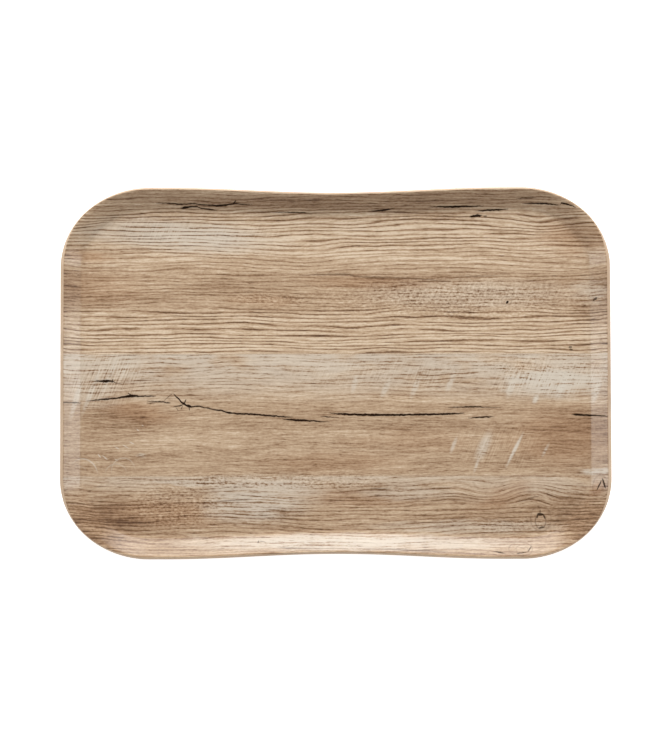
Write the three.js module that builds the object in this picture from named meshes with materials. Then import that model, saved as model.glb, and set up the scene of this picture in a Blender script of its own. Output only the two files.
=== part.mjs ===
// A moulded serving tray: seven sheets pressed into one dished shell.
// Five cross-laid beech veneers make the core, a printed decor sheet faces the top and a backing
// sheet balances it underneath. The thin space between two sheets is their glue line.
// Millimetres, +Z up. The origin is the centre of the flat underside, with +X along the length.
import * as THREE from "three";

// Overall sizes, measured over the outer edge of the rim.
const LENGTH = 460;
const WIDTH = 311;
const HEIGHT = 18;

// Plan outline: elliptical corners, straight short sides and long sides that are waisted for the hands.
const CORNER_ALONG_LENGTH = 75;
const CORNER_ALONG_WIDTH = 67;
const STRAIGHT_BEFORE_WAIST = 14;
const WAIST_DEPTH = 4.3;
const WAIST_LENGTH = LENGTH - 2 * (CORNER_ALONG_LENGTH + STRAIGHT_BEFORE_WAIST);

// The pressed stack, from the top down.
const DECOR_SHEET = 0.25;
const VENEER = 0.6;
const BACKING_SHEET = 0.25;
const GLUE_LINE = 0.05;
const STACK = [
  { name: "decor_sheet", thickness: DECOR_SHEET, material: "decor" },
  { name: "face_veneer", thickness: VENEER, material: "longGrain" },
  { name: "upper_cross_veneer", thickness: VENEER, material: "crossGrain" },
  { name: "core_veneer", thickness: VENEER, material: "longGrain" },
  { name: "lower_cross_veneer", thickness: VENEER, material: "crossGrain" },
  { name: "back_veneer", thickness: VENEER, material: "longGrain" },
  { name: "backing_sheet", thickness: BACKING_SHEET, material: "backing" },
];
const SHELL = STACK.reduce((sum, sheet) => sum + sheet.thickness, 0) + GLUE_LINE * (STACK.length - 1);

// Wall section. A fillet leaves the floor, the wall rises straight at wallAngle, and a lip turns to
// rimAngle, where the edge is trimmed square to the sheets. Angles are from the horizontal: the lip
// curls up on the short sides, and rolls outwards on the long sides and most of all in the corners.
const FLOOR_FILLET = 6;
const SHORT_SIDE = { wallAngle: 44, rimAngle: 60, lipRadius: 8 };
const LONG_SIDE = { wallAngle: 41, rimAngle: 30, lipRadius: 12 };
const CORNER = { wallAngle: 42, rimAngle: 15, lipRadius: 14 };

// Facets of the section, and of a quarter of the outline.
const FILLET_STEPS = 4;
const LIP_STEPS = 3;
const SHORT_SIDE_STEPS = 1;
const CORNER_STEPS = 10;
const WAIST_STEPS = 4;

const MATERIALS = {
  decor: new THREE.MeshStandardMaterial({ color: 0xb89f86, roughness: 0.3, metalness: 0 }),
  longGrain: new THREE.MeshStandardMaterial({ color: 0xdcc0a0, roughness: 0.6, metalness: 0 }),
  crossGrain: new THREE.MeshStandardMaterial({ color: 0xcfae8b, roughness: 0.7, metalness: 0 }),
  backing: new THREE.MeshStandardMaterial({ color: 0xa68c72, roughness: 0.45, metalness: 0 }),
};

const radians = THREE.MathUtils.degToRad;
const mix = THREE.MathUtils.lerp;

// How far the long side's edge is drawn in at x.
function waistInset(x) {
  if (Math.abs(x) >= WAIST_LENGTH / 2) return 0;
  return (WAIST_DEPTH / 2) * (1 + Math.cos((2 * Math.PI * x) / WAIST_LENGTH));
}

// The slope of that inset, for the outline's normal.
function waistSlope(x) {
  if (Math.abs(x) >= WAIST_LENGTH / 2) return 0;
  return -((WAIST_DEPTH * Math.PI) / WAIST_LENGTH) * Math.sin((2 * Math.PI * x) / WAIST_LENGTH);
}

// A quarter of the places round the rim, from the middle of the right-hand side to the middle of the
// far side: each has its point on the outline and the outward normal there.
function quarterOfStations() {
  const cornerX = LENGTH / 2 - CORNER_ALONG_LENGTH;
  const cornerY = WIDTH / 2 - CORNER_ALONG_WIDTH;
  const stations = [];
  for (let i = 0; i < SHORT_SIDE_STEPS; i++) {
    const point = new THREE.Vector2(LENGTH / 2, (cornerY * i) / SHORT_SIDE_STEPS);
    stations.push({ point, normal: new THREE.Vector2(1, 0) });
  }
  for (let i = 0; i <= CORNER_STEPS; i++) {
    const turn = (i / CORNER_STEPS) * (Math.PI / 2);
    const [cos, sin] = [Math.cos(turn), Math.sin(turn)];
    const point = new THREE.Vector2(cornerX + CORNER_ALONG_LENGTH * cos, cornerY + CORNER_ALONG_WIDTH * sin);
    const normal = new THREE.Vector2(cos / CORNER_ALONG_LENGTH, sin / CORNER_ALONG_WIDTH).normalize();
    stations.push({ point, normal });
  }
  for (let i = 0; i <= WAIST_STEPS; i++) {
    const x = mix(WAIST_LENGTH / 2, 0, i / WAIST_STEPS);
    const point = new THREE.Vector2(x, WIDTH / 2 - waistInset(x));
    stations.push({ point, normal: new THREE.Vector2(waistSlope(x), 1).normalize() });
  }
  return stations;
}

// All the places round the rim, counter-clockwise from the middle of the right-hand side.
function outlineStations() {
  const mirrored = (signX, signY) => (station) => {
    const sign = new THREE.Vector2(signX, signY);
    return { point: station.point.clone().multiply(sign), normal: station.normal.clone().multiply(sign) };
  };
  const quarter = quarterOfStations();
  const half = [...quarter, ...quarter.slice(0, -1).reverse().map(mirrored(-1, 1))];
  return [...half, ...half.slice(1, -1).map(mirrored(-1, -1))];
}

// The wall section at a place on the outline: a side's own on the straights, the corner's between them.
function sectionAt(normal) {
  const towardsLongSide = normal.y ** 2;
  const towardsCorner = 4 * normal.x ** 2 * normal.y ** 2;
  const section = {};
  for (const key of Object.keys(CORNER)) {
    section[key] = mix(mix(SHORT_SIDE[key], LONG_SIDE[key], towardsLongSide), CORNER[key], towardsCorner);
  }
  return section;
}

// The section's points at a depth below the top surface, from the floor's edge out to the rim:
// u runs outwards from the outline, so it is negative inside, and z runs up from the underside.
function sectionPoints({ wallAngle, rimAngle, lipRadius }, depth) {
  const wall = radians(wallAngle);
  const rim = radians(rimAngle);
  const roll = rim > wall ? -1 : 1;
  const rise = HEIGHT - SHELL;
  const filletRise = FLOOR_FILLET * (1 - Math.cos(wall));
  const lipRise = roll * lipRadius * (Math.cos(rim) - Math.cos(wall));
  const lipRun = roll * lipRadius * (Math.sin(wall) - Math.sin(rim));
  const straight = (rise - filletRise - lipRise) / Math.sin(wall);
  const run = FLOOR_FILLET * Math.sin(wall) + straight * Math.cos(wall) + lipRun;
  const floorEdge = -(run + SHELL * Math.sin(rim));

  const points = [];
  for (let i = 0; i <= FILLET_STEPS; i++) {
    const turn = (wall * i) / FILLET_STEPS;
    const radius = FLOOR_FILLET + depth;
    points.push({
      u: floorEdge + radius * Math.sin(turn),
      z: SHELL + FLOOR_FILLET - radius * Math.cos(turn),
    });
  }
  const lipCentre = {
    u: floorEdge + run + roll * lipRadius * Math.sin(rim),
    z: HEIGHT - roll * lipRadius * Math.cos(rim),
  };
  for (let i = 0; i <= LIP_STEPS; i++) {
    const turn = mix(wall, rim, i / LIP_STEPS);
    const radius = roll * lipRadius - depth;
    points.push({
      u: lipCentre.u - radius * Math.sin(turn),
      z: lipCentre.z + radius * Math.cos(turn),
    });
  }
  return points;
}

// One face of a sheet as rings of points, from the floor's edge out to the rim.
function faceRings(stations, depth) {
  const sections = stations.map(({ normal }) => sectionPoints(sectionAt(normal), depth));
  return sections[0].map((_, row) =>
    stations.map(({ point, normal }, i) => {
      const { u, z } = sections[i][row];
      return new THREE.Vector3(point.x + normal.x * u, point.y + normal.y * u, z);
    }),
  );
}

// A closed solid sheet between two depths: its two faces, each with a flat floor, and its trimmed edge.
// Both faces split their quads along the same diagonal, so that nested sheets keep their distance.
function sheetGeometry(topDepth, bottomDepth) {
  const stations = outlineStations();
  const top = faceRings(stations, topDepth);
  const bottom = faceRings(stations, bottomDepth);
  const loop = [...top, ...bottom.reverse()];
  const count = stations.length;
  const positions = loop.flat().flatMap((p) => p.toArray());
  const indices = [];
  for (let ring = 0; ring + 1 < loop.length; ring++) {
    for (let i = 0; i < count; i++) {
      const next = (i + 1) % count;
      const [a, b] = [ring * count + i, ring * count + next];
      const [c, d] = [(ring + 1) * count + next, (ring + 1) * count + i];
      if (ring < top.length) indices.push(a, d, c, a, c, b);
      else indices.push(a, d, b, b, d, c);
    }
  }
  const floorCentre = (ring) => {
    positions.push(0, 0, loop[ring][0].z);
    return positions.length / 3 - 1;
  };
  const topCentre = floorCentre(0);
  const bottomCentre = floorCentre(loop.length - 1);
  const lastRing = (loop.length - 1) * count;
  for (let i = 0; i < count; i++) {
    const next = (i + 1) % count;
    indices.push(topCentre, i, next);
    indices.push(bottomCentre, lastRing + next, lastRing + i);
  }
  const geometry = new THREE.BufferGeometry();
  geometry.setAttribute("position", new THREE.Float32BufferAttribute(positions, 3));
  geometry.setIndex(indices);
  geometry.computeVertexNormals();
  return geometry;
}

// The tray: every sheet of the stack, nested under the one above it.
function buildTray() {
  const tray = new THREE.Group();
  let depth = 0;
  for (const { name, thickness, material } of STACK) {
    const sheet = new THREE.Mesh(sheetGeometry(depth, depth + thickness), MATERIALS[material]);
    sheet.name = name;
    tray.add(sheet);
    depth += thickness + GLUE_LINE;
  }
  return tray;
}

export default buildTray();
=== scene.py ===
import math

import bmesh
import bpy
from mathutils import Euler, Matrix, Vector


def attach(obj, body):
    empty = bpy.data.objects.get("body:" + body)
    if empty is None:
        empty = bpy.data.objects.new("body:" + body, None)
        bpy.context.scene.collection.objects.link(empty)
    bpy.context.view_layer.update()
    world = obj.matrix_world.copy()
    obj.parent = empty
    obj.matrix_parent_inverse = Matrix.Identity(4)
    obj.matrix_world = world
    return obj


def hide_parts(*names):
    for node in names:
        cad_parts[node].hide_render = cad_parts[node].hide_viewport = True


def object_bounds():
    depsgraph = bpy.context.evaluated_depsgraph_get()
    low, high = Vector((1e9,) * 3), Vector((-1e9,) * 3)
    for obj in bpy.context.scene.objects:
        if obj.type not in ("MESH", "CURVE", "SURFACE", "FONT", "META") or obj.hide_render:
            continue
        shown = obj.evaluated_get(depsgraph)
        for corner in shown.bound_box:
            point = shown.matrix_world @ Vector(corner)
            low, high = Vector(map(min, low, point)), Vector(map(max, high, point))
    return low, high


# A moulded serving tray: seven sheets pressed into one dished shell. The top sheet is printed with
# weathered oak boards under satin melamine. The rim is trimmed, rounded over and clear-sealed, so
# that the beech veneers of the core show all the way round as a pale laminated edge.

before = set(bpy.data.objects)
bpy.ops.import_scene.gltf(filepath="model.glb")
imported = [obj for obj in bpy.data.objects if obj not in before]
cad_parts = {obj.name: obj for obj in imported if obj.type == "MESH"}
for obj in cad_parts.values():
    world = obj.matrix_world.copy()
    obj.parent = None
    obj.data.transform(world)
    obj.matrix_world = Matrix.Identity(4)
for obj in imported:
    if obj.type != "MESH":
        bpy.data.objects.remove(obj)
cad_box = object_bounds()

MM = 0.001

# ---------------------------------------------------------------------------------------------
# Sizes in millimetres. The overall ones are the frame's, the others are those of the CAD part.

LENGTH, WIDTH, HEIGHT = ((high - low) / MM for low, high in zip(*cad_box))
CORNER_ALONG_LENGTH = 75
CORNER_ALONG_WIDTH = 67
STRAIGHT_BEFORE_WAIST = 14
WAIST_DEPTH = 4.3
WAIST_LENGTH = LENGTH - 2 * (CORNER_ALONG_LENGTH + STRAIGHT_BEFORE_WAIST)

# The pressed stack, from the top down: piece, CAD node, thickness and slot of the record.
GLUE_LINE = 0.05
STACK = [
    ("oak_decor_sheet", "decor_sheet", 0.25, "oak_decor"),
    ("beech_face_veneer", "face_veneer", 0.6, "veneer_long_grain"),
    ("beech_upper_cross_veneer", "upper_cross_veneer", 0.6, "veneer_cross_grain"),
    ("beech_core_veneer", "core_veneer", 0.6, "veneer_long_grain"),
    ("beech_lower_cross_veneer", "lower_cross_veneer", 0.6, "veneer_cross_grain"),
    ("beech_back_veneer", "back_veneer", 0.6, "veneer_long_grain"),
    ("oak_backing_sheet", "backing_sheet", 0.25, "oak_backing"),
]
SHELL = sum(sheet[2] for sheet in STACK) + GLUE_LINE * (len(STACK) - 1)

# Wall section on each kind of side: wall angle and rim angle in degrees from the horizontal, and
# the radius of the lip that turns from one to the other.
FLOOR_FILLET = 6
SHORT_SIDE = (44, 60, 8)
LONG_SIDE = (41, 30, 12)
CORNER = (42, 15, 14)

# The radius that the trimmed edge is rounded over to.
EDGE_ROUND = 1.0

# How finely the surfaces are divided.
SHORT_SIDE_STEPS = 6
CORNER_STEPS = 44
WAIST_STEPS = 26
FLOOR_RINGS = 5
FILLET_STEPS = 8
WALL_STEPS = 16
EDGE_STEPS = 4

# Two faces that meet at more than this many degrees meet in a crease.
CREASE = 40


# ---------------------------------------------------------------------------------------------
# Shape


def blend(a, b, share):
    return a + (b - a) * share


def waist_inset(x):
    """How far the long side's edge is drawn in at x, and the slope of that."""
    if abs(x) >= WAIST_LENGTH / 2:
        return 0, 0
    phase = 2 * math.pi * x / WAIST_LENGTH
    slope = -WAIST_DEPTH * math.pi / WAIST_LENGTH * math.sin(phase)
    return WAIST_DEPTH / 2 * (1 + math.cos(phase)), slope


def quarter_of_stations():
    """(point, outward normal) pairs from the middle of the right side to the middle of the far side."""
    corner_x = LENGTH / 2 - CORNER_ALONG_LENGTH
    corner_y = WIDTH / 2 - CORNER_ALONG_WIDTH
    stations = []
    for i in range(SHORT_SIDE_STEPS):
        point = Vector((LENGTH / 2, corner_y * i / SHORT_SIDE_STEPS))
        stations.append((point, Vector((1, 0))))
    for i in range(CORNER_STEPS + 1):
        turn = i / CORNER_STEPS * math.pi / 2
        cos, sin = math.cos(turn), math.sin(turn)
        point = Vector((corner_x + CORNER_ALONG_LENGTH * cos, corner_y + CORNER_ALONG_WIDTH * sin))
        normal = Vector((cos / CORNER_ALONG_LENGTH, sin / CORNER_ALONG_WIDTH)).normalized()
        stations.append((point, normal))
    for i in range(WAIST_STEPS + 1):
        x = blend(WAIST_LENGTH / 2, 0, i / WAIST_STEPS)
        inset, slope = waist_inset(x)
        stations.append((Vector((x, WIDTH / 2 - inset)), Vector((slope, 1)).normalized()))
    return stations


def outline_stations():
    """All the places round the rim, counter-clockwise from the middle of the right-hand side."""

    def mirrored(stations, sign_x, sign_y):
        sign = Vector((sign_x, sign_y))
        return [(point * sign, normal * sign) for point, normal in stations]

    quarter = quarter_of_stations()
    half = quarter + mirrored(quarter[-2::-1], -1, 1)
    return half + mirrored(half[1:-1], -1, -1)


class Section:
    """The wall's section at one place on the outline, followed by the distance along its top surface.

    u runs outwards from the outline, z up from the underside, and distances start at the floor's edge.
    """

    def __init__(self, normal):
        towards_long_side = normal.y**2
        towards_corner = 4 * normal.x**2 * normal.y**2
        wall, rim, self.lip_radius = (
            blend(blend(short, long, towards_long_side), corner, towards_corner)
            for short, long, corner in zip(SHORT_SIDE, LONG_SIDE, CORNER)
        )
        self.wall, self.rim = math.radians(wall), math.radians(rim)
        self.roll = -1 if self.rim > self.wall else 1
        lip = self.roll * self.lip_radius
        fillet_rise = FLOOR_FILLET * (1 - math.cos(self.wall))
        lip_rise = lip * (math.cos(self.rim) - math.cos(self.wall))
        lip_run = lip * (math.sin(self.wall) - math.sin(self.rim))
        straight = (HEIGHT - SHELL - fillet_rise - lip_rise) / math.sin(self.wall)
        run = FLOOR_FILLET * math.sin(self.wall) + straight * math.cos(self.wall) + lip_run
        self.floor_edge = -(run + SHELL * math.sin(self.rim))
        self.fillet_length = FLOOR_FILLET * self.wall
        self.lip_start = self.fillet_length + straight
        self.length = self.lip_start + self.lip_radius * abs(self.wall - self.rim)
        self.straight = straight

    def place(self, distance, depth):
        """(u, z) at a distance along the top surface and a depth below it."""
        angle = min(distance / FLOOR_FILLET, self.wall)
        u = self.floor_edge + FLOOR_FILLET * math.sin(angle)
        z = SHELL + FLOOR_FILLET * (1 - math.cos(angle))
        along_straight = min(max(distance - self.fillet_length, 0), self.straight)
        u += along_straight * math.cos(self.wall)
        z += along_straight * math.sin(self.wall)
        along_lip = max(distance - self.lip_start, 0)
        if along_lip:
            angle = self.wall - self.roll * along_lip / self.lip_radius
            u += self.roll * self.lip_radius * (math.sin(self.wall) - math.sin(angle))
            z += self.roll * self.lip_radius * (math.cos(angle) - math.cos(self.wall))
        return u + depth * math.sin(angle), z - depth * math.cos(angle)


def edge_inset(depth):
    """How far the rounded edge is drawn back from the trim line at a depth below the top surface."""
    to_face = min(depth, SHELL - depth)
    if to_face >= EDGE_ROUND:
        return 0
    return EDGE_ROUND - math.sqrt(EDGE_ROUND**2 - (EDGE_ROUND - to_face) ** 2)


def edge_depths(top, bottom):
    """Depths down a sheet's cut edge, closer together where it meets the outer face of the stack."""
    depths = []
    for i in range(EDGE_STEPS + 1):
        share = i / EDGE_STEPS
        if top == 0:
            share = share**2
        elif SHELL - bottom < GLUE_LINE:
            share = 1 - (1 - share) ** 2
        depths.append(blend(top, bottom, share))
    return depths


def face_rings(stations, sections, depth):
    """One face of a sheet as rings of (place, print place), from the floor's edge out to the rim."""
    shares = [i / FILLET_STEPS for i in range(FILLET_STEPS + 1)]
    rings = []
    for share in shares:
        rings.append(ring_at(stations, sections, depth, lambda s: share * s.fillet_length))
    for i in range(1, WALL_STEPS + 1):
        share = i / WALL_STEPS

        def distance(section):
            return blend(section.fillet_length, section.length - edge_inset(depth), share)

        rings.append(ring_at(stations, sections, depth, distance))
    return rings


def ring_at(stations, sections, depth, distance_on):
    """A ring of (place, print place) at a depth, at the distance that distance_on gives each section."""
    ring = []
    for (point, normal), section in zip(stations, sections):
        distance = distance_on(section)
        u, z = section.place(distance, depth)
        flat = point + normal * u
        unrolled = point + normal * (section.floor_edge + distance)
        ring.append((Vector((flat.x, flat.y, z)), unrolled))
    return ring


def floor_rings(edge_ring):
    """Rings across the flat floor, from near its middle out to the ring before its edge."""
    rings = []
    for i in range(1, FLOOR_RINGS):
        share = i / FLOOR_RINGS
        ring = [(Vector((p.x * share, p.y * share, p.z)), flat * share) for p, flat in edge_ring]
        rings.append(ring)
    return rings


def sheet_rings(top, bottom):
    """All the rings of a closed sheet between two depths: its top face outwards, down its cut edge,
    and its bottom face inwards."""
    stations = outline_stations()
    sections = [Section(normal) for _, normal in stations]
    upper = face_rings(stations, sections, top)
    lower = face_rings(stations, sections, bottom)
    edge = []
    for depth in edge_depths(top, bottom)[1:-1]:
        edge.append(ring_at(stations, sections, depth, lambda s: s.length - edge_inset(depth)))
    upper = floor_rings(upper[0]) + upper
    lower = floor_rings(lower[0]) + lower
    return upper + edge + lower[::-1]


def build_sheet(name, top, bottom):
    """A sheet as an object in the scene. Its print_place attribute says, in millimetres, where each
    point lay on the flat sheet before pressing, so that the print isn't stretched on the walls."""
    rings = sheet_rings(top, bottom)
    bm = bmesh.new()
    print_place = bm.verts.layers.float_vector.new("print_place")

    def add(place, flat):
        vert = bm.verts.new(place * MM)
        vert[print_place] = (flat.x, flat.y, 0)
        return vert

    loops = [[add(place, flat) for place, flat in ring] for ring in rings]
    count = len(loops[0])
    for inner, outer in zip(loops, loops[1:]):
        for i in range(count):
            after = (i + 1) % count
            bm.faces.new((inner[i], outer[i], outer[after], inner[after]))
    for ring, loop, turn in ((rings[0], loops[0], 1), (rings[-1], loops[-1], -1)):
        middle = add(Vector((0, 0, ring[0][0].z)), Vector((0, 0)))
        for i in range(count):
            bm.faces.new((middle, loop[i], loop[(i + turn) % count]))
    bmesh.ops.recalc_face_normals(bm, faces=bm.faces)
    mesh = bpy.data.meshes.new(name)
    bm.to_mesh(mesh)
    bm.free()
    mesh.shade_smooth()
    mesh.set_sharp_from_angle(angle=math.radians(CREASE))
    sheet = bpy.data.objects.new(name, mesh)
    bpy.context.scene.collection.objects.link(sheet)
    return sheet


# ---------------------------------------------------------------------------------------------
# Materials


def colour(red, green, blue):
    """A colour given as 0 to 255 display values, as the linear colour that sockets take."""

    def linear(value):
        value /= 255
        return value / 12.92 if value <= 0.04045 else ((value + 0.055) / 1.055) ** 2.4

    return (linear(red), linear(green), linear(blue), 1)


class Graph:
    """A material's node tree, with a short call for each kind of node that the materials use."""

    def __init__(self, name):
        self.material = bpy.data.materials.new(name)
        self.material.use_nodes = True
        self.tree = self.material.node_tree
        self.shader = self.tree.nodes["Principled BSDF"]

    def feed(self, socket, value):
        if isinstance(value, bpy.types.NodeSocket):
            self.tree.links.new(value, socket)
        else:
            socket.default_value = value

    def node(self, kind, *values, **settings):
        made = self.tree.nodes.new("ShaderNode" + kind)
        for name, value in settings.items():
            setattr(made, name, value)
        for socket, value in zip(made.inputs, values):
            if value is not None:
                self.feed(socket, value)
        return made

    def math(self, operation, *values):
        return self.node("Math", *values, operation=operation).outputs[0]

    def add(self, *values):
        total = values[0]
        for value in values[1:]:
            total = self.math("ADD", total, value)
        return total

    def times(self, *values):
        total = values[0]
        for value in values[1:]:
            total = self.math("MULTIPLY", total, value)
        return total

    def smooth(self, value, low, high):
        """0 at low and 1 at high, eased between. low may be the larger."""
        made = self.node("MapRange", value, low, high, interpolation_type="SMOOTHSTEP", clamp=False)
        return made.outputs[0]

    def mix(self, share, a, b, blend_type="MIX"):
        made = self.node("Mix", share, data_type="RGBA", blend_type=blend_type)
        self.feed(made.inputs[6], a)
        self.feed(made.inputs[7], b)
        return made.outputs[2]

    def join(self, x, y, z=0.0):
        return self.node("CombineXYZ", x, y, z).outputs[0]

    def split(self, vector):
        return self.node("SeparateXYZ", vector).outputs

    def stretch(self, vector, x, y, z=1.0):
        """The vector with each direction divided by a length."""
        return self.node("VectorMath", vector, (1 / x, 1 / y, 1 / z), operation="MULTIPLY").outputs[0]

    def noise(self, vector, detail=2.0, roughness=0.5, dimensions="2D"):
        made = self.node("TexNoise", noise_dimensions=dimensions)
        self.feed(made.inputs["Vector"], vector)
        made.inputs["Scale"].default_value = 1
        made.inputs["Detail"].default_value = detail
        made.inputs["Roughness"].default_value = roughness
        return made.outputs[0]

    def streaks(self, vector, x, y, detail=2.0, roughness=0.5):
        """Noise whose features are about x long and y wide, from -1 to 1 with 0 in the middle."""
        value = self.noise(self.stretch(vector, x, y), detail, roughness)
        return self.math("MULTIPLY_ADD", value, 2.0, -1.0)

    def closeness(self, vector, x, y, half_length, half_width, angle=0):
        """1 at the middle of an ellipse, falling evenly to 0 at its edge. angle is in degrees."""
        settled = self.node("Mapping", vector, vector_type="TEXTURE")
        settled.inputs["Location"].default_value = (x, y, 0)
        settled.inputs["Rotation"].default_value = (0, 0, math.radians(angle))
        settled.inputs["Scale"].default_value = (half_length, half_width, 1)
        made = self.node("TexGradient", settled.outputs[0], gradient_type="SPHERICAL")
        return made.outputs["Fac"]

    def blob(self, vector, x, y, half_length, half_width, angle=0, core=0.3):
        """1 within the core of an ellipse, easing to 0 at its edge."""
        return self.smooth(self.closeness(vector, x, y, half_length, half_width, angle), 0.0, 1.0 - core)

    def ring(self, vector, x, y, half_length, half_width, thickness):
        """1 on an ellipse's outline, falling to 0 either side. thickness is a share of its size."""
        close = self.closeness(vector, x, y, 2 * half_length, 2 * half_width)
        off = self.math("ABSOLUTE", self.math("MULTIPLY_ADD", close, -2.0, 1.0))
        return self.smooth(off, thickness, 0.0)

    def curve(self, share, points):
        """The value at a share from 0 to 1 of a graph through (share, value) points."""
        low, high = min(value for _, value in points), max(value for _, value in points)
        made = self.node("FloatCurve", 1.0, share)
        made.mapping.extend = "HORIZONTAL"
        line = made.mapping.curves[0]
        for place, value in points[1:-1]:
            line.points.new(place, (value - low) / (high - low))
        for point, (place, value) in zip(line.points, points):
            point.location = (place, (value - low) / (high - low))
            point.handle_type = "VECTOR"
        made.mapping.update()
        return self.math("MULTIPLY_ADD", made.outputs[0], high - low, low)

    def curve_over(self, value, points):
        """The graph through (place, value) points, at a place."""
        first, last = points[0][0], points[-1][0]
        share = self.node("MapRange", value, first, last, clamp=False).outputs[0]
        return self.curve(share, [((place - first) / (last - first), high) for place, high in points])

    def bump(self, height, distance, strength):
        made = self.node("Bump")
        made.inputs["Strength"].default_value = strength
        made.inputs["Distance"].default_value = distance
        self.feed(made.inputs["Height"], height)
        return made.outputs[0]


# The print, in millimetres on the flat sheet, with x along the grain and y across it. The far side is at
# positive y. Where one board meets the next, from the far side:
SEAMS = (84, 16, -86)

# Across the boards: how strongly the dark growth rings are drawn, and how light the wood is.
RING_STRENGTH = [
    (-180, 0.35), (-135, 0.45), (-110, 0.5), (-88, 0.35), (-82, 0.12), (-60, 0.2), (-25, 0.2),
    (-18, 0.45), (14, 0.45), (18, 1.0), (50, 0.95), (56, 0.45), (80, 0.45), (86, 0.55), (100, 0.65),
    (108, 0.95), (134, 1.0), (142, 0.45), (180, 0.45),
]
LIGHTNESS = [
    (-180, 0.5), (-134, 0.5), (-126, 0.45), (-100, 0.5), (-86.3, 0.54), (-85.7, 0.5), (-74, 0.5),
    (-58, 0.56), (-40, 0.5), (-25, 0.56), (0, 0.58), (15.7, 0.58), (16.3, 0.66), (28, 0.66), (45, 0.6),
    (62, 0.5), (83.7, 0.46), (84.3, 0.56), (104, 0.66), (125, 0.64), (134, 0.54), (180, 0.54),
]

# Across the boards: how whitened they are, most of all along the far side of the third and fourth.
WHITENESS = [
    (-180, 0), (-112, 0), (-98, 0.15), (-90, 0.35), (-86.3, 0.45), (-85.7, 0), (-26, 0), (-14, 0.3),
    (2, 0.62), (15.7, 0.7), (16.3, 0), (180, 0),
]

# Soft-edged areas as (x, y, half length, half width, angle in degrees, strength).
WHITENED_AREAS_AND_NEAR_WALL_HIGHLIGHT = [
    (-130, 116, 105, 19, -4, 0.75),
    (182, -7, 66, 19, 0, 1.0),
    (-205, -10, 45, 26, 0, 0.45),
    (-60, -97, 75, 16, 0, 0.65),
    (-68, -108, 62, 24, 0, 0.75),
    (60, -100, 60, 10, 0, 0.4),
    (-120, -91.5, 75, 5, 0, 0.6),
    (182, -96, 50, 13, 0, 0.3),
    (110, -129, 110, 8, 0, 0.4),
    (115, 66, 125, 18, 0, 0.3),
    (220, 68, 28, 16, 0, 0.45),
    (218, -83, 26, 4, 0, 0.8),
    # Painted highlight: the near wall whitened where it mirrors the lights.
    (10, -144, 195, 12, 0, 0.8),
]
BROWNED_AREAS = [
    (-215, 99, 36, 7, -6, 0.6),
    (205, 116, 50, 26, 0, 0.55),
    (195, -54, 75, 34, 0, 0.55),
    (-165, -33, 45, 13, -8, 0.6),
    (-165, -31, 14, 6, 0, 0.4),
    (0, -75, 85, 13, 0, 0.4),
    (143, -102, 46, 12, 22, 0.6),
    (-150, -117, 75, 20, 0, 0.5),
    (18, -105, 70, 10, -4, 0.4),
    (35, 76, 80, 8, -2, 0.5),
    (-65, 61, 38, 8, 0, 0.35),
    (70, -56, 60, 16, 0, 0.3),
    (224, -97, 12, 12, 0, 0.8),
    (-200, 72, 60, 20, 0, 0.35),
    (25, -58, 30, 8, 0, 0.2),
]
LIGHTENED_AREAS_AND_NEAR_WALL_HIGHLIGHT = [
    (-140, 22, 100, 10, 0, 0.35),
    (35, 101, 110, 11, -2, 0.4),
    (-120, -56, 70, 14, 0, 0.3),
    (52, -78, 45, 9, 0, 0.35),
    (175, 117, 28, 4, 5, 0.4),
    (-130, 97, 60, 5, -4, 0.3),
    # Painted highlight: the near wall lightened a little.
    (10, -144, 200, 13, 0, 0.1),
    (-165, 78, 70, 14, 0, 0.55),
    (20, 122, 200, 12, 0, 0.2),
]
DARKENED_AREAS_AND_PAINTED_SHADE = [
    # Painted shade: the whole far wall, which faces away from the light.
    (20, 147, 215, 13, 0, 0.8),
    # Painted shade on the walls of the two near corners, in this line and the next.
    (-205, -132, 62, 36, 25, 1.0),
    (212, -126, 46, 34, -25, 0.9),
    (200, -50, 50, 34, 0, 0.3),
    (-225, 60, 20, 60, 0, 0.2),
    (-190, -38, 55, 22, 0, 0.5),
    (222, 58, 26, 26, 0, 0.45),
]
MOTTLED_AREAS = [
    (-135, -112, 60, 26, 0, 0.6),
    (105, 63, 150, 22, 0, 0.6),
    (-55, -91, 145, 9, 0, 0.6),
    (-60, 62, 40, 8, 0, 0.5),
    (170, 5, 70, 14, 0, 0.5),
    (150, -128, 50, 8, 0, 0.4),
]
SAWN_AREAS = [
    (-195, -5, 50, 30, 0, 1.0),
    (175, -4, 75, 22, 0, 0.8),
    (40, 0, 120, 18, 0, 0.4),
    (-150, 120, 60, 15, 0, 0.5),
    (-80, 118, 60, 12, 0, 0.4),
    (135, -62, 50, 24, 0, 0.5),
    (120, 66, 120, 15, 0, 0.45),
]

# Where the grain runs at a slope, as (x, y, half length, half width, slope).
SLANTED_AREAS = [
    (145, -101, 48, 17, 0.38),
    (195, 128, 48, 16, 0.2),
    (-165, -20, 60, 16, 0.1),
]

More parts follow.
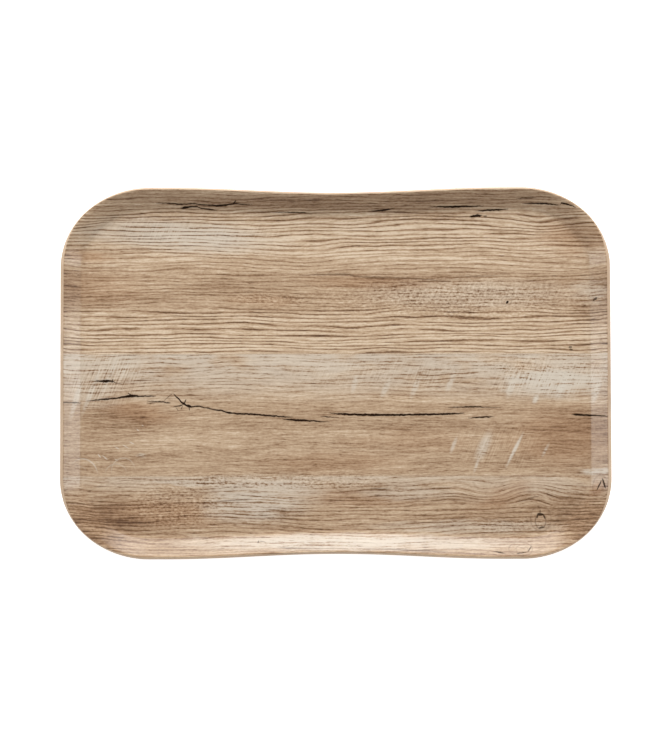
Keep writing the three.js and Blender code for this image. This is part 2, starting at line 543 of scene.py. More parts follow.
# Printed splits in the wood, in rows along the grain, as (x, y, half width) points.
SPLIT_ROWS = [
    [
        (-236, -24.6, 0.3), (-215, -24.6, 0.2), (-213, -24.6, 0), (-160, -23.5, 0), (-155, -23.4, 0.2),
        (-150, -23.8, 0.35), (-145, -24, 0.3), (-140, -24.7, 0.3), (-138, -24.8, 0), (-123, -28.2, 0),
        (-121, -28.2, 0.4), (-116, -27.5, 0.5), (-109, -28.8, 0.3), (-100, -30.9, 0.45),
        (-95, -31.4, 0.5), (-90, -33.2, 0.5), (-80, -34, 0.6), (-70, -34.4, 0.55), (-60, -35.3, 0.45),
        (-50, -36, 0.5), (-42, -36.8, 0.4), (-34, -37.2, 0), (-8, -33.3, 0), (0, -34, 0.3),
        (8, -34.6, 0.65), (30, -35.2, 0.7), (50, -35.2, 0.7), (70, -34.9, 0.6), (85, -34.7, 0.65),
        (100, -34.2, 0.55), (107, -33.9, 0.2), (109, -33.8, 0), (110, -37.9, 0), (118, -37.4, 0.45),
        (128, -37, 0.45), (134, -37, 0), (198, -35, 0), (201, -35.1, 0.55), (210, -35.6, 0.6),
        (219, -36.1, 0.4), (228, -36.6, 0.35), (236, -36.9, 0),
    ],
    [
        (-211, -23, 0), (-203, -22.8, 0.3), (-195, -21.6, 0.5), (-185, -20.9, 0.4), (-178, -19.8, 0.65),
        (-171, -18.9, 0.95), (-165, -19.1, 0.45), (-155, -18.9, 0.4), (-150, -19.1, 0), (-46, -38.4, 0),
        (-42, -38.8, 0.3), (-35, -39.3, 0.65), (-28, -39.6, 0.65), (-20, -40.1, 0.5), (-12, -40.6, 0.3),
        (-3, -40.7, 0), (92, -29.2, 0), (100, -28.9, 0.25), (110, -28.5, 0.4), (120, -28.5, 0.35),
        (126, -28.9, 0.2), (145, -29.3, 0),
    ],
    [
        (-210, -6.3, 0), (-203, -6.3, 0.15), (-196, -6.5, 0.55), (-192, -6.4, 0.9), (-188, -6.4, 0.45),
        (-184, -8, 0.15), (-175, -9.7, 0), (-160, -24.9, 0), (-155, -24.8, 0.25), (-150, -24.6, 0),
        (-14, -36.2, 0), (-8, -36.8, 0.3), (6, -37.3, 0),
    ],
    [
        (-152, 145, 0), (-145, 144.8, 0.3), (-130, 143.6, 0.5), (-120, 144.2, 0.35), (-110, 143, 0.4),
        (-100, 142.2, 0.65), (-92, 142.8, 0.7), (-84, 144.6, 0.5), (-78, 143.8, 0.45), (-68, 143.6, 0),
        (76, 140.6, 0), (85, 140.8, 0.35), (98, 140.6, 0.75), (110, 141, 0.6), (121, 141.2, 0.35),
        (126, 141.3, 0), (156, 143.4, 0), (165, 144, 0.5), (178, 144, 0.6), (187, 143.4, 0.25),
        (190, 143.2, 0), (191, 145.5, 0.5), (196, 144.6, 0.65), (202, 142.5, 0.3), (205, 141, 0),
    ],
    [
        (-131, 139.4, 0), (-127, 140, 0.9), (-122, 141, 0.6), (-115, 141, 0.45), (-114, 139.6, 0.4),
        (-104, 138, 0.55), (-99, 137.7, 0), (-60, 136.5, 0), (-45, 136, 0.3), (-28, 135.6, 0.4),
        (-20, 135, 0), (26, 136.9, 0), (34, 137.2, 0.55), (42, 138, 0.65), (48, 139.3, 0.2),
        (51, 140, 0), (117, 136.3, 0), (127, 137, 0.55), (138, 137.6, 0.55), (147, 138.3, 0),
        (150, 148.2, 0), (158, 149.2, 0.35), (172, 149.8, 0),
    ],
]

# Lines softer than the splits, drawn in the same way.
DARK_LINES = [
    [
        (-35, 82, 0), (-15, 83, 0.3), (5, 83.2, 0.6), (12, 82.8, 0.6), (20, 81.2, 0.4), (30, 80.7, 0.6),
        (45, 80.5, 0.4), (65, 79.6, 0.45), (80, 78.4, 0.45), (90, 77.2, 0.25), (100, 77, 0),
        (102, 81.8, 0), (117, 81.3, 0.45), (125, 81.6, 0.3), (146, 81.6, 0),
    ],
    [
        (-230, -109.8, 0.5), (-212, -109.8, 0.5), (-205, -110, 0), (-190, -123, 0), (-180, -123.4, 0.5),
        (-172, -123.2, 0), (-101, -107.6, 0), (-95, -107.2, 0.35), (-85, -106.5, 0.4),
        (-74, -105.7, 0.35), (-69, -105.5, 0), (28, -97, 0), (33, -97, 0.45), (42, -97.4, 0.4),
        (47, -97.5, 0), (152, -108, 0), (158, -107, 0.4), (168, -103.8, 0.4), (171, -103.2, 0),
        (176, -133.8, 0), (190, -134.2, 0.4), (206, -134, 0),
    ],
    [
        (-204, -94.6, 0), (-198, -95, 0.4), (-188, -94.2, 0), (-166, -128.3, 0), (-160, -127.6, 0.4),
        (-150, -127, 0), (-50, -148.5, 0), (-40, -150, 0.5), (-25, -150.4, 0.3), (20, -150.5, 0),
        (45, -151.2, 0.5), (70, -152.5, 0.6), (85, -153, 0.3), (95, -153, 0),
    ],
]

# Short strokes, as (x, y, half length, half width, angle in degrees, strength): the star-shaped split,
# the knots with their dark caps, and small dark chips.
DARK_STROKES = [
    (-131.5, -21.8, 8, 0.55, -46, 1),
    (-127, -25.8, 5, 0.8, -30, 1),
    (-123.5, -27.4, 4, 0.95, -20, 1),
    (-131.5, -27.2, 6, 0.45, 12, 0.9),
    (-126.4, -24, 3, 0.45, 65, 0.9),
    (-122.8, -29.6, 2.2, 0.4, 100, 0.8),
    (-140.5, -19.9, 6, 0.25, 40, 0.7),
    (-129, -28.8, 1.8, 0.35, 60, 0.8),
    (-133, -30, 2.5, 0.3, 130, 0.6),
    (-187.3, -6.4, 2.6, 0.5, 75, 0.9),
    (-194.5, -6.8, 2.4, 0.5, 60, 0.8),
    (-172.5, -17.6, 3, 0.5, -35, 0.9),
    (-84.5, 145.8, 3, 0.6, 50, 0.9),
    (144.6, 59.3, 1.9, 0.9, 60, 1),
    (171.5, -118.8, 3.6, 1, 0, 0.9),
    (168.9, -120.6, 2, 0.6, 75, 0.8),
    (174.7, -121, 2.2, 0.6, -65, 0.8),
    (172.5, -129.6, 3.4, 0.7, 8, 0.7),
    (171.2, -116.5, 2, 0.5, 85, 0.6),
    (222.6, -94.5, 6, 0.6, 62, 0.9),
    (227.4, -93, 6, 0.8, -70, 0.9),
    (118.2, 132.2, 6.5, 1, 6, 1),
    (119.5, 133, 2, 0.9, 40, 0.8),
    (126.5, 132, 2, 0.7, 10, 0.6),
    (197.5, 21.6, 1.9, 0.8, 0, 0.7),
    (198, 19.4, 2.2, 0.7, -8, 0.7),
    (219.5, 61.5, 3.2, 1, 25, 0.8),
    (-64.6, -143, 1.8, 0.5, 75, 0.6),
    (-61, -142.6, 3, 0.4, -10, 0.5),
    (154, -154.6, 6, 0.5, 12, 0.8),
    (161.5, -150.5, 4, 0.5, 60, 0.7),
    (136, -153.8, 6, 0.6, -12, 0.8),
]

# The outlines of knots, as (x, y, half length, half width, thickness as a share of its size, strength).
KNOT_RINGS = [
    (171.6, -124.3, 4.4, 6.2, 0.2, 0.8),
    (171.8, -122, 8.5, 11, 0.1, 0.35),
    (144, 60.5, 4.5, 3.6, 0.2, 0.4),
    (154, -150.5, 10, 7, 0.12, 0.4),
    (155, -150.5, 5, 4, 0.16, 0.4),
    (224, -96, 8, 10, 0.14, 0.4),
]

# Pale strokes, in the same form as the dark ones: glancing saw cuts and the oak's silvery rays.
PALE_STROKES = [
    (124, -62, 19, 6.5, 66, 0.5),
    (118.5, -76, 11, 2, 72, 0.5),
    (150, -65, 21, 2.2, 63, 0.75),
    (99, -60.5, 10, 2.4, 68, 0.5),
    (176, -65, 9, 1.8, 62, 0.45),
    (16, -9, 11, 3.4, 75, 0.4),
    (42, -13, 12, 3.4, 65, 0.45),
    (67, -12, 13, 3.6, 68, 0.45),
    (97, -7, 13, 3.8, 66, 0.45),
    (147, -13, 12, 4.4, 70, 0.5),
    (168, -22, 6, 3.4, 60, 0.7),
    (190, -12, 14, 4, 65, 0.5),
    (220, -16, 15, 5, 68, 0.6),
    (-205, -15, 30, 3, 68, 0.5),
    (-190, -3, 24, 2.6, 66, 0.4),
    (-176, 5, 14, 2.2, 66, 0.3),
    (-219, -22, 24, 4, 70, 0.5),
    (-163, -69, 5.5, 2.8, 0, 0.6),
    (-198, -69.3, 3.4, 0.7, -50, 0.8),
    (-193, -71, 4.8, 0.8, -40, 0.9),
    (-184, -72.5, 3, 0.7, -35, 0.7),
    (-183.5, -62.4, 3.4, 0.7, -25, 0.7),
    (-176, -61.5, 4, 0.6, -30, 0.7),
    (-171, -58.4, 3.4, 0.6, -25, 0.7),
    (-166, -47.5, 4, 0.7, -45, 0.6),
    (-162, -43.6, 3.4, 0.6, -40, 0.6),
]

# Pale arcs of ray fleck, in the same form as the knots' outlines, and the area that they show in.
PALE_ARCS = [
    (-213, -86, 13.5, 14.5, 0.07, 0.6),
    (-216, -86, 8, 8.5, 0.12, 0.4),
    (-184, -84, 9, 8, 0.1, 0.3),
    (-178, -82, 10, 11, 0.08, 0.3),
]
PALE_ARCS_AREA = (-190, -72, 40, 15, 0, 1)

# The colours of bare wood from its darkest tone to its lightest.
WOOD_TONES = (
    (0.0, colour(82, 57, 39)),
    (0.25, colour(128, 98, 71)),
    (0.5, colour(165, 137, 109)),
    (0.75, colour(189, 164, 136)),
    (1.0, colour(212, 192, 167)),
)

# The print's other colours, and those of the cut and sealed edges of the veneers.
# The wash's white also paints the highlight on the near wall, and on the underside it is the pale rubbed
# wear.
WASH_WEAR_AND_HIGHLIGHT_WHITE = colour(202, 193, 179)
RAY_PALE = colour(208, 200, 186)
RED_BROWN = colour(226, 204, 184)
LINE_BROWN = colour(78, 52, 32)
HALO_BROWN = colour(104, 70, 42)
SPLIT_DARK = colour(20, 5, 0)
BEECH_DARK = colour(168, 138, 110)
BEECH_LIGHT = colour(214, 192, 167)
BEECH_HELD = colour(150, 126, 104)

# The grain, in millimetres: how far it wanders in long and in short waves, how far apart the growth
# rings are, how soft a seam is, and how far along and across its log each board is cut from the last.
LONG_WANDER = 5.0
SHORT_WANDER = 0.45
RING_SPACING = 3.4
SEAM_SOFTNESS = 0.3
BOARD_SHIFT_ALONG = 371.0
BOARD_SHIFT_ACROSS = 93.0

# What each part of the wood adds to its tone, which runs from 0 to 1.
BROAD_ADDS = 0.25
BANDS_ADD = 0.2
FIBRES_ADD = 0.26
PORES_ADD = -0.24
RINGS_ADD = -0.5
PALE_RINGS_ADD = 0.16
WHOLE_WOOD_ADDS = -0.05
# The lightened and darkened areas also carry a painted highlight and painted shade on the walls.
LIGHTENED_AND_HIGHLIGHT_ADD = 0.25
DARKENED_AND_SHADE_ADD = -0.25
ENDS_ADD = -0.1
MOTTLE_ADDS = 0.14
MOTTLED_AREAS_ADD = 0.5
SAW_MARKS_ADD = 0.42

# The fibres of the beech, in millimetres.
FIBRE_LENGTH = 12
FIBRE_WIDTH = 0.4

# The print darkens between these distances from the middle, at the lips of the two short sides.
END_SHADE = (222, 233)

# The marks: the slope of the saw's in degrees, how much wider than drawn the lines and the strokes
# come out, and how much of the wood each kind of mark covers.
SAW_MARK_SLOPE = 68
LINE_SPREAD = 1.4
STROKE_SPREAD = 1.35
# The wash's cover also scales the painted highlight on the near wall.
WASH_AND_HIGHLIGHT_COVER = 0.85
LINES_COVER = 0.62
HALO_COVERS = 0.35
SPLITS_COVER = 0.97

# The surface: how strongly the melamine and the sealed veneer edges mirror, their roughness, and the
# depth of their relief in millimetres.
MELAMINE_MIRROR = 0.38
EDGE_MIRROR = 0.25
EDGE_ROUGHNESS = 0.34
MELAMINE_ROUGHNESS = 0.1
RUBBED_ADDS = 0.05
PORES_ROUGHEN = 0.05
PORE_RELIEF = 0.015
FIBRE_RELIEF = 0.04
BACKING_ROUGHNESS = 0.28
BACKING_PORE_RELIEF = 0.02


def oak_grain(graph, flat, x, y, slants=()):
    """The place on the print with the grain's wander taken out, so that the grain runs along its x.
    Each board gets a piece of wood of its own. Also the second coordinate of that by itself."""
    for centre_x, centre_y, half_length, half_width, slope in slants:
        within = graph.blob(flat, centre_x, centre_y, half_length, half_width, core=0)
        off = graph.times(graph.math("SUBTRACT", x, centre_x), -slope, within)
        y = graph.add(y, off)
    board = graph.add(*(graph.smooth(y, seam + SEAM_SOFTNESS, seam - SEAM_SOFTNESS) for seam in SEAMS))
    moved_x = graph.math("MULTIPLY_ADD", board, BOARD_SHIFT_ALONG, x)
    moved_y = graph.math("MULTIPLY_ADD", board, BOARD_SHIFT_ACROSS, y)
    moved = graph.join(moved_x, moved_y)
    wander = graph.add(
        graph.times(graph.streaks(moved, 150, 40), LONG_WANDER),
        graph.times(graph.streaks(moved, 32, 11), SHORT_WANDER),
    )
    across = graph.add(moved_y, wander)
    return graph.join(moved_x, across), across


def oak_tone(graph, grain, across, ring_strength, lightness):
    """How light the wood is, from 0 to 1, and how deep its pores are, from 0 to 1."""
    broad = graph.streaks(grain, 110, 8, detail=3)
    bands = graph.streaks(grain, 40, 2.4, detail=2, roughness=0.6)
    fibres = graph.smooth(graph.streaks(grain, 13, 0.85, detail=2, roughness=0.7), -0.4, 0.4)
    rings_across = graph.times(across, 1 / RING_SPACING)
    phase = graph.math("MULTIPLY_ADD", graph.streaks(grain, 90, 10), 0.9, rings_across)
    wave = graph.math("SINE", graph.times(phase, 2 * math.pi))
    breaks = graph.smooth(graph.streaks(grain, 60, 3, detail=3), -0.5, 0.0)
    rings = graph.times(graph.smooth(wave, 0.52, 0.92), breaks, ring_strength)
    pale_rings = graph.times(graph.smooth(wave, 0.0, -0.8), ring_strength)
    pores = graph.smooth(graph.streaks(grain, 8, 0.6, detail=1), -0.2, -0.5)
    tone = graph.math("MULTIPLY_ADD", broad, BROAD_ADDS, lightness)
    tone = graph.math("MULTIPLY_ADD", bands, BANDS_ADD, tone)
    tone = graph.math("MULTIPLY_ADD", fibres, FIBRES_ADD, tone)
    tone = graph.math("MULTIPLY_ADD", pores, PORES_ADD, tone)
    tone = graph.math("MULTIPLY_ADD", rings, RINGS_ADD, tone)
    tone = graph.math("MULTIPLY_ADD", pale_rings, PALE_RINGS_ADD, tone)
    tone = graph.add(tone, WHOLE_WOOD_ADDS)
    return tone, graph.math("MAXIMUM", pores, rings)


def wood_colour(graph, tone):
    """The colour of bare wood at a tone from 0 to 1."""
    ramp = graph.node("ValToRGB", tone)
    stops = ramp.color_ramp.elements
    for stop, (place, tint) in zip(stops, (WOOD_TONES[0], WOOD_TONES[-1])):
        stop.position = place
        stop.color = tint
    for place, tint in WOOD_TONES[1:-1]:
        stops.new(place).color = tint
    return ramp.outputs[0]


def areas(graph, vector, marks, core=0.25):
    """The strongest of a list of soft ellipses at each place."""
    strongest = None
    for *ellipse, strength in marks:
        mask = graph.times(graph.blob(vector, *ellipse, core=core), strength)
        strongest = mask if strongest is None else graph.math("MAXIMUM", strongest, mask)
    return strongest


def outlines(graph, vector, rings):
    """The strongest of a list of ellipse outlines at each place."""
    strongest = None
    for *ring, strength in rings:
        mask = graph.times(graph.ring(vector, *ring), strength)
        strongest = mask if strongest is None else graph.math("MAXIMUM", strongest, mask)
    return strongest


def distance_to_lines(graph, x, y, rows):
    """How far each place is from the nearest edge of the drawn lines, less than 0 inside a line."""
    nearest = None
    for row in rows:
        first, last = row[0][0], row[-1][0]
        share = graph.node("MapRange", x, first, last, clamp=False).outputs[0]
        shares = [(place - first) / (last - first) for place, _, _ in row]
        centre = graph.curve(share, [(at, middle) for at, (_, middle, _) in zip(shares, row)])
        width = graph.curve(share, [(at, LINE_SPREAD * half) for at, (_, _, half) in zip(shares, row)])
        off = graph.math("ABSOLUTE", graph.math("SUBTRACT", y, centre))
        # Where the width comes down to 0 there is no line.
        absent = graph.smooth(width, 0.1, 0.02)
        distance = graph.math("MULTIPLY_ADD", absent, 10.0, graph.math("SUBTRACT", off, width))
        nearest = distance if nearest is None else graph.math("MINIMUM", nearest, distance)
    return nearest


def decor_lightness(graph, loose, x, y):
    """How light the boards are before their grain is drawn, with painted shade on the far wall and the near
    corners and a painted highlight on the near wall.
    """
    lightness = graph.curve_over(y, LIGHTNESS)
    lightness = graph.math("MULTIPLY_ADD", areas(graph, loose, LIGHTENED_AREAS_AND_NEAR_WALL_HIGHLIGHT), LIGHTENED_AND_HIGHLIGHT_ADD, lightness)
    lightness = graph.math("MULTIPLY_ADD", areas(graph, loose, DARKENED_AREAS_AND_PAINTED_SHADE), DARKENED_AND_SHADE_ADD, lightness)
    at_end = graph.smooth(graph.math("ABSOLUTE", x), *END_SHADE)
    return graph.math("MULTIPLY_ADD", at_end, ENDS_ADD, lightness)


def with_mottle_and_saw_marks(graph, flat, loose, tone):
    """The tone with the small mottle, most of all in some areas, and the saw's slanting marks added."""
    mottle = graph.streaks(flat, 2.6, 1.5, detail=1, roughness=0.6)
    mottled = graph.math("MULTIPLY_ADD", areas(graph, loose, MOTTLED_AREAS), MOTTLED_AREAS_ADD, MOTTLE_ADDS)
    tone = graph.math("MULTIPLY_ADD", mottle, mottled, tone)
    sawn_place = graph.node("Mapping", flat, vector_type="TEXTURE")
    sawn_place.inputs["Rotation"].default_value = (0, 0, math.radians(SAW_MARK_SLOPE))
    saw_marks = graph.streaks(sawn_place.outputs[0], 16, 1.2, detail=1)
    sawn = graph.times(saw_marks, areas(graph, loose, SAWN_AREAS))
    return graph.math("MULTIPLY_ADD", sawn, SAW_MARKS_ADD, tone)


def with_brown_wash_and_painted_highlight(graph, flat, loose, grain, y, tone, base):
    """The colour with the browned areas, and with the white wash that clings to the lighter grain; the same
    wash also paints a highlight on the near wall.
    """
    browned = graph.mix(1.0, base, RED_BROWN, "MULTIPLY")
    base = graph.mix(areas(graph, loose, BROWNED_AREAS), base, browned)
    patchy = graph.smooth(graph.streaks(flat, 38, 16, detail=3), -0.7, 0.2)
    wash_and_highlight = graph.times(graph.curve_over(y, WHITENESS), patchy)
    wash_and_highlight = graph.math("MAXIMUM", wash_and_highlight, areas(graph, loose, WHITENED_AREAS_AND_NEAR_WALL_HIGHLIGHT))
    streaky = graph.smooth(graph.math("MULTIPLY_ADD", graph.streaks(grain, 40, 4), 0.3, tone), 0.22, 0.62)
    return graph.mix(graph.times(wash_and_highlight, streaky, WASH_AND_HIGHLIGHT_COVER), base, WASH_WEAR_AND_HIGHLIGHT_WHITE)


def with_pale_marks(graph, flat, tone, base):
    """The colour with the glancing saw cuts and the silvery rays."""
    pale = graph.math(
        "MAXIMUM",
        graph.times(areas(graph, flat, PALE_STROKES, core=0.2), graph.smooth(tone, 0.3, 0.6)),
        graph.times(outlines(graph, flat, PALE_ARCS), areas(graph, flat, [PALE_ARCS_AREA])),
    )
    return graph.mix(pale, base, RAY_PALE)


def with_dark_marks(graph, x, shaken_y, base):
    """The colour with the dark lines, knots and splits, and how much of each place is a split."""
    shaken = graph.join(x, shaken_y)
    dark_lines = graph.smooth(distance_to_lines(graph, x, shaken_y, DARK_LINES), 0.7, -0.8)
    rings = outlines(graph, shaken, KNOT_RINGS)
    lines = graph.math("MAXIMUM", dark_lines, rings)
    base = graph.mix(graph.times(lines, LINES_COVER), base, LINE_BROWN)
    to_split = distance_to_lines(graph, x, shaken_y, SPLIT_ROWS)
    halo = graph.times(graph.smooth(to_split, 1.7, -1.7), HALO_COVERS)
    base = graph.mix(halo, base, HALO_BROWN)
    widened = [
        (*middle_and_length, STROKE_SPREAD * half_width, angle, strength)
        for *middle_and_length, half_width, angle, strength in DARK_STROKES
    ]
    strokes = areas(graph, shaken, widened, core=0.6)
    splits = graph.math("MAXIMUM", graph.smooth(to_split, 0.35, -0.4), strokes)
    return graph.mix(graph.times(splits, SPLITS_COVER), base, SPLIT_DARK), splits


def material_of_decor():
    """Satin melamine over a print of weathered oak boards, with painted shade on the far wall and near
    corners and a painted highlight on the near wall.
    """
    graph = Graph("oak_decor_print_with_painted_light")
    flat = graph.node("Attribute", attribute_name="print_place").outputs["Vector"]
    x, y, _ = graph.split(flat)
    grain, across = oak_grain(graph, flat, x, y, SLANTED_AREAS)

    # Uneven versions of the place, for soft areas and for thin lines.
    loose = graph.join(
        graph.math("MULTIPLY_ADD", graph.streaks(flat, 26, 14, detail=3), 16.0, x),
        graph.math("MULTIPLY_ADD", graph.streaks(flat, 22, 5, detail=3), 4.5, y),
    )
    shaken_y = graph.math("MULTIPLY_ADD", graph.streaks(flat, 3.5, 3.5, detail=2), 0.65, y)

    ring_strength = graph.curve_over(y, RING_STRENGTH)
    lightness = decor_lightness(graph, loose, x, y)
    tone, pores = oak_tone(graph, grain, across, ring_strength, lightness)
    tone = with_mottle_and_saw_marks(graph, flat, loose, tone)
    base = with_brown_wash_and_painted_highlight(graph, flat, loose, grain, y, tone, wood_colour(graph, tone))
    base = with_pale_marks(graph, flat, tone, base)
    base, splits = with_dark_marks(graph, x, shaken_y, base)
    graph.feed(graph.shader.inputs["Base Color"], base)
    # Only the flat of the print mirrors: the splits are matt.
    mirror = graph.math("MULTIPLY_ADD", splits, -MELAMINE_MIRROR, MELAMINE_MIRROR)
    graph.feed(graph.shader.inputs["Specular IOR Level"], mirror)

    # The melamine: satin, a little duller where hands and crockery have rubbed it, with the pores
    # pressed into it.
    rubbed = graph.noise(graph.stretch(flat, 38, 30), detail=3)
    roughness = graph.math("MULTIPLY_ADD", pores, PORES_ROUGHEN, MELAMINE_ROUGHNESS)
    roughness = graph.math("MULTIPLY_ADD", rubbed, RUBBED_ADDS, roughness)
    graph.feed(graph.shader.inputs["Roughness"], roughness)
    sheen = graph.noise(graph.stretch(flat, 0.8, 0.8), detail=1)
    height = graph.math("MULTIPLY_ADD", pores, -1.0, sheen)
    graph.feed(graph.shader.inputs["Normal"], graph.bump(height, PORE_RELIEF * MM, 0.5))
    return graph.material


def material_of_veneer(name, length_x, length_y):
    """Beech veneer, seen at the rim where it is cut, sanded and sealed. Its fibres are drawn out by the
    two lengths in millimetres, so the cut shows them lengthways on one side and end-on on the next."""
    graph = Graph(name)
    place = graph.node("TexCoord").outputs["Object"]
    x, y, _ = graph.split(place)
    fibre_place = graph.stretch(place, length_x * MM, length_y * MM, 0.35 * MM)
    fibres = graph.noise(fibre_place, detail=3, roughness=0.65, dimensions="3D")
    tint = graph.noise(graph.stretch(place, 90 * MM, 70 * MM, 90 * MM), detail=2, dimensions="3D")
    tone = graph.math("MULTIPLY_ADD", fibres, 1.1, -0.35)
    tone = graph.math("MULTIPLY_ADD", tint, 0.6, tone)
    base = graph.mix(tone, BEECH_DARK, BEECH_LIGHT)
    # Hands hold the tray at the two waists and the two ends: there the seal is polished and greyed.
    at_waist = graph.smooth(graph.math("ABSOLUTE", x), 95 * MM, 25 * MM)
    at_end = graph.smooth(graph.math("ABSOLUTE", y), 70 * MM, 20 * MM)
    patchy = graph.noise(graph.stretch(place, 14 * MM, 14 * MM, 14 * MM), detail=3, dimensions="3D")
    held = graph.times(graph.math("MAXIMUM", at_waist, at_end), graph.smooth(patchy, 0.35, 0.6))
    base = graph.mix(graph.times(held, 0.3), base, BEECH_HELD)
    graph.feed(graph.shader.inputs["Base Color"], base)
    roughness = graph.math("MULTIPLY_ADD", fibres, 0.2, EDGE_ROUGHNESS)
    roughness = graph.math("MULTIPLY_ADD", held, -0.12, roughness)
    graph.feed(graph.shader.inputs["Roughness"], roughness)
    graph.shader.inputs["Specular IOR Level"].default_value = EDGE_MIRROR
    graph.feed(graph.shader.inputs["Normal"], graph.bump(fibres, FIBRE_RELIEF * MM, 0.6))
    return graph.material


def material_of_backing():
    """Satin melamine over plain oak, scuffed where the tray slides on its underside."""
    graph = Graph("oak_backing_print")
    flat = graph.node("Attribute", attribute_name="print_place").outputs["Vector"]
    x, y, _ = graph.split(flat)
    # The backing is cut from another part of the log than the decor.
    grain, across = oak_grain(graph, flat, graph.add(x, 1500.0), graph.add(y, 31.0))
    whole = graph.streaks(flat, 120, 30, detail=2)
    tone, pores = oak_tone(graph, grain, across, 0.5, graph.math("MULTIPLY_ADD", whole, 0.15, 0.48))
    base = wood_colour(graph, tone)
    # The flat underside rests on the table: its border and the turn of the fillet are rubbed pale.
    _, _, height = graph.split(graph.node("TexCoord").outputs["Object"])
    above_table = graph.smooth(height, -0.01 * MM, 0.15 * MM)
    border = graph.times(above_table, graph.smooth(height, 1.4 * MM, 0.3 * MM))
    scuffs = graph.smooth(graph.streaks(flat, 9, 1.3, detail=3, roughness=0.7), 0.12, 0.5)
    worn = graph.math("MAXIMUM", graph.times(border, 0.6), graph.times(scuffs, 0.35))
    base = graph.mix(graph.times(worn, 0.4), base, WASH_WEAR_AND_HIGHLIGHT_WHITE)
    graph.feed(graph.shader.inputs["Base Color"], base)
    roughness = graph.math("MULTIPLY_ADD", pores, 0.08, BACKING_ROUGHNESS)
    roughness = graph.math("MULTIPLY_ADD", worn, 0.25, roughness)
    graph.feed(graph.shader.inputs["Roughness"], roughness)
    graph.feed(graph.shader.inputs["Normal"], graph.bump(pores, -BACKING_PORE_RELIEF * MM, 0.5))
    return graph.material


def build_tray():
    """Every sheet of the stack, attached to the root body."""
    materials = {
        "oak_decor": material_of_decor(),
        "veneer_long_grain": material_of_veneer("beech_long_grain", FIBRE_LENGTH, FIBRE_WIDTH),
        "veneer_cross_grain": material_of_veneer("beech_cross_grain", FIBRE_WIDTH, FIBRE_LENGTH),
        "oak_backing": material_of_backing(),
    }
    depth = 0
    for name, node, thickness, slot in STACK:
        sheet = build_sheet(name, depth, depth + thickness)
        sheet.data.materials.append(materials[slot])
        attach(sheet, "root")
        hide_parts(node)
        depth += thickness + GLUE_LINE


# ---------------------------------------------------------------------------------------------
# Floor, lights and camera, in metres

FLOOR_REACH = 30
FLOOR_DROP = 0.0002
FLOOR_ALBEDO = 0.85
FLOOR_GLOW = 0.7
WORLD_STRENGTH = 0.55

# The low strips are mirrored by the sloping walls. Those on the far side lie one over another, so
# that their mirror image fades towards its ends. Sizes are (width, height).
STRIP_TARGET = (0, 0, 0.1)
FAR_STRIP_PLACE = Vector((0.04, 1.25, 0.26))
FAR_STRIP_SPACING = Vector((0, 0.01, 0))
FAR_STRIP_WIDTHS = (0.55, 0.85, 1.2)
FAR_STRIP_HEIGHT = 0.45
FAR_STRIP_WATTS_PER_METRE = 2.1
SIDE_STRIP_REACH = 1.25
SIDE_STRIP_RISE = 0.17
SIDE_STRIP_SIZE = (0.3, 0.32)
SIDE_STRIP_WATTS = 1.1
SOFTBOX_PLACE = (0, 1.7, 1.75)
SOFTBOX_SIZE = (3.4, 2.2)
SOFTBOX_WATTS = 63


def build_floor():
    """A white floor that glows a little, so that it stays white round the tray."""
    bm = bmesh.new()
    bmesh.ops.create_grid(bm, x_segments=8, y_segments=8, size=FLOOR_REACH)
    mesh = bpy.data.meshes.new("studio_floor")
    bm.to_mesh(mesh)
    bm.free()
    floor = bpy.data.objects.new("studio_floor", mesh)
    floor.location.z = -FLOOR_DROP
    bpy.context.scene.collection.objects.link(floor)
    graph = Graph("white_floor")
    graph.shader.inputs["Base Color"].default_value = (FLOOR_ALBEDO, FLOOR_ALBEDO, FLOOR_ALBEDO, 1)
    graph.shader.inputs["Roughness"].default_value = 0.9
    graph.shader.inputs["Emission Color"].default_value = (1, 1, 1, 1)
    graph.shader.inputs["Emission Strength"].default_value = FLOOR_GLOW
    mesh.materials.append(graph.material)


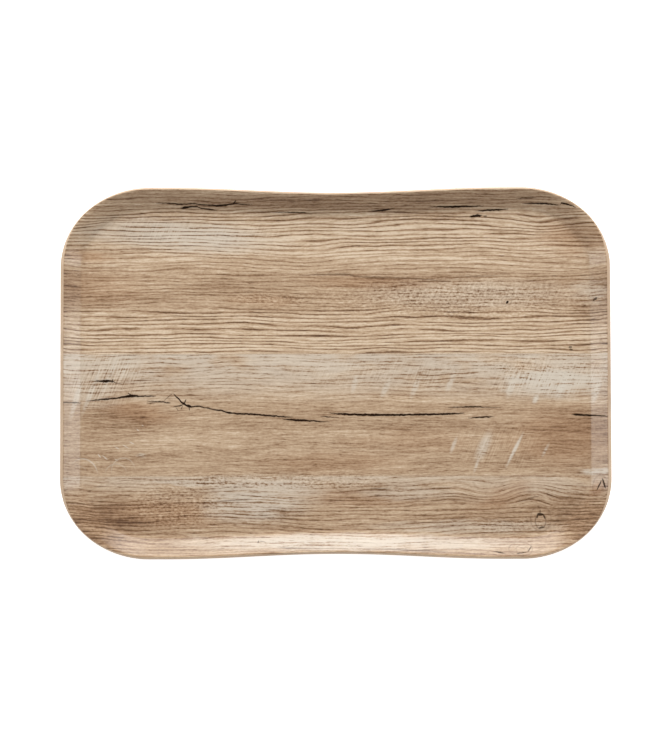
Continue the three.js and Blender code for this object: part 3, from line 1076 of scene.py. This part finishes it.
def add_panel(name, place, target, size, watts):
    """A rectangular soft light at a place, facing a target. size is (width, height)."""
    data = bpy.data.lights.new(name, "AREA")
    data.shape = "RECTANGLE"
    data.size, data.size_y = size
    data.energy = watts
    light = bpy.data.objects.new(name, data)
    light.location = place
    light.rotation_euler = (Vector(target) - Vector(place)).to_track_quat("-Z", "Y").to_euler()
    light.visible_camera = False
    bpy.context.scene.collection.objects.link(light)
    return light


def build_lights():
    world = bpy.data.worlds.new("studio")
    world.use_nodes = True
    background = world.node_tree.nodes["Background"]
    background.inputs["Color"].default_value = (1, 1, 1, 1)
    background.inputs["Strength"].default_value = WORLD_STRENGTH
    bpy.context.scene.world = world
    for i, width in enumerate(FAR_STRIP_WIDTHS):
        place = FAR_STRIP_PLACE + i * FAR_STRIP_SPACING
        watts = FAR_STRIP_WATTS_PER_METRE * width
        add_panel(f"far_strip_{i}", place, STRIP_TARGET, (width, FAR_STRIP_HEIGHT), watts)
    for name, side in (("left_strip", -1), ("right_strip", 1)):
        place = (side * SIDE_STRIP_REACH, 0, SIDE_STRIP_RISE)
        add_panel(name, place, STRIP_TARGET, SIDE_STRIP_SIZE, SIDE_STRIP_WATTS)
    # The softbox lights the tray evenly without a mirror image of its own.
    softbox = add_panel("high_softbox", SOFTBOX_PLACE, (0, 0, 0), SOFTBOX_SIZE, SOFTBOX_WATTS)
    softbox.visible_glossy = False
    bpy.context.scene.view_settings.view_transform = "Standard"


# The camera hangs over the tray, leaning a little towards its far side.
CAMERA_DISTANCE = 1.6
CAMERA_LEAN = math.radians(2.07)
CAMERA_ROLL = math.radians(-0.1)
CAMERA_LENS = 92.1
CAMERA_SENSOR = 36
AIM = Vector((-0.0088, -0.002, 0.0155))


def build_camera():
    data = bpy.data.cameras.new("camera")
    data.lens = CAMERA_LENS
    data.sensor_width = CAMERA_SENSOR
    camera = bpy.data.objects.new("camera", data)
    turn = Euler((CAMERA_LEAN, 0, 0)).to_matrix() @ Euler((0, 0, CAMERA_ROLL)).to_matrix()
    camera.rotation_euler = turn.to_euler()
    camera.location = AIM + turn @ Vector((0, 0, CAMERA_DISTANCE))
    bpy.context.scene.collection.objects.link(camera)
    bpy.context.scene.camera = camera


build_tray()
build_floor()
build_lights()
build_camera()
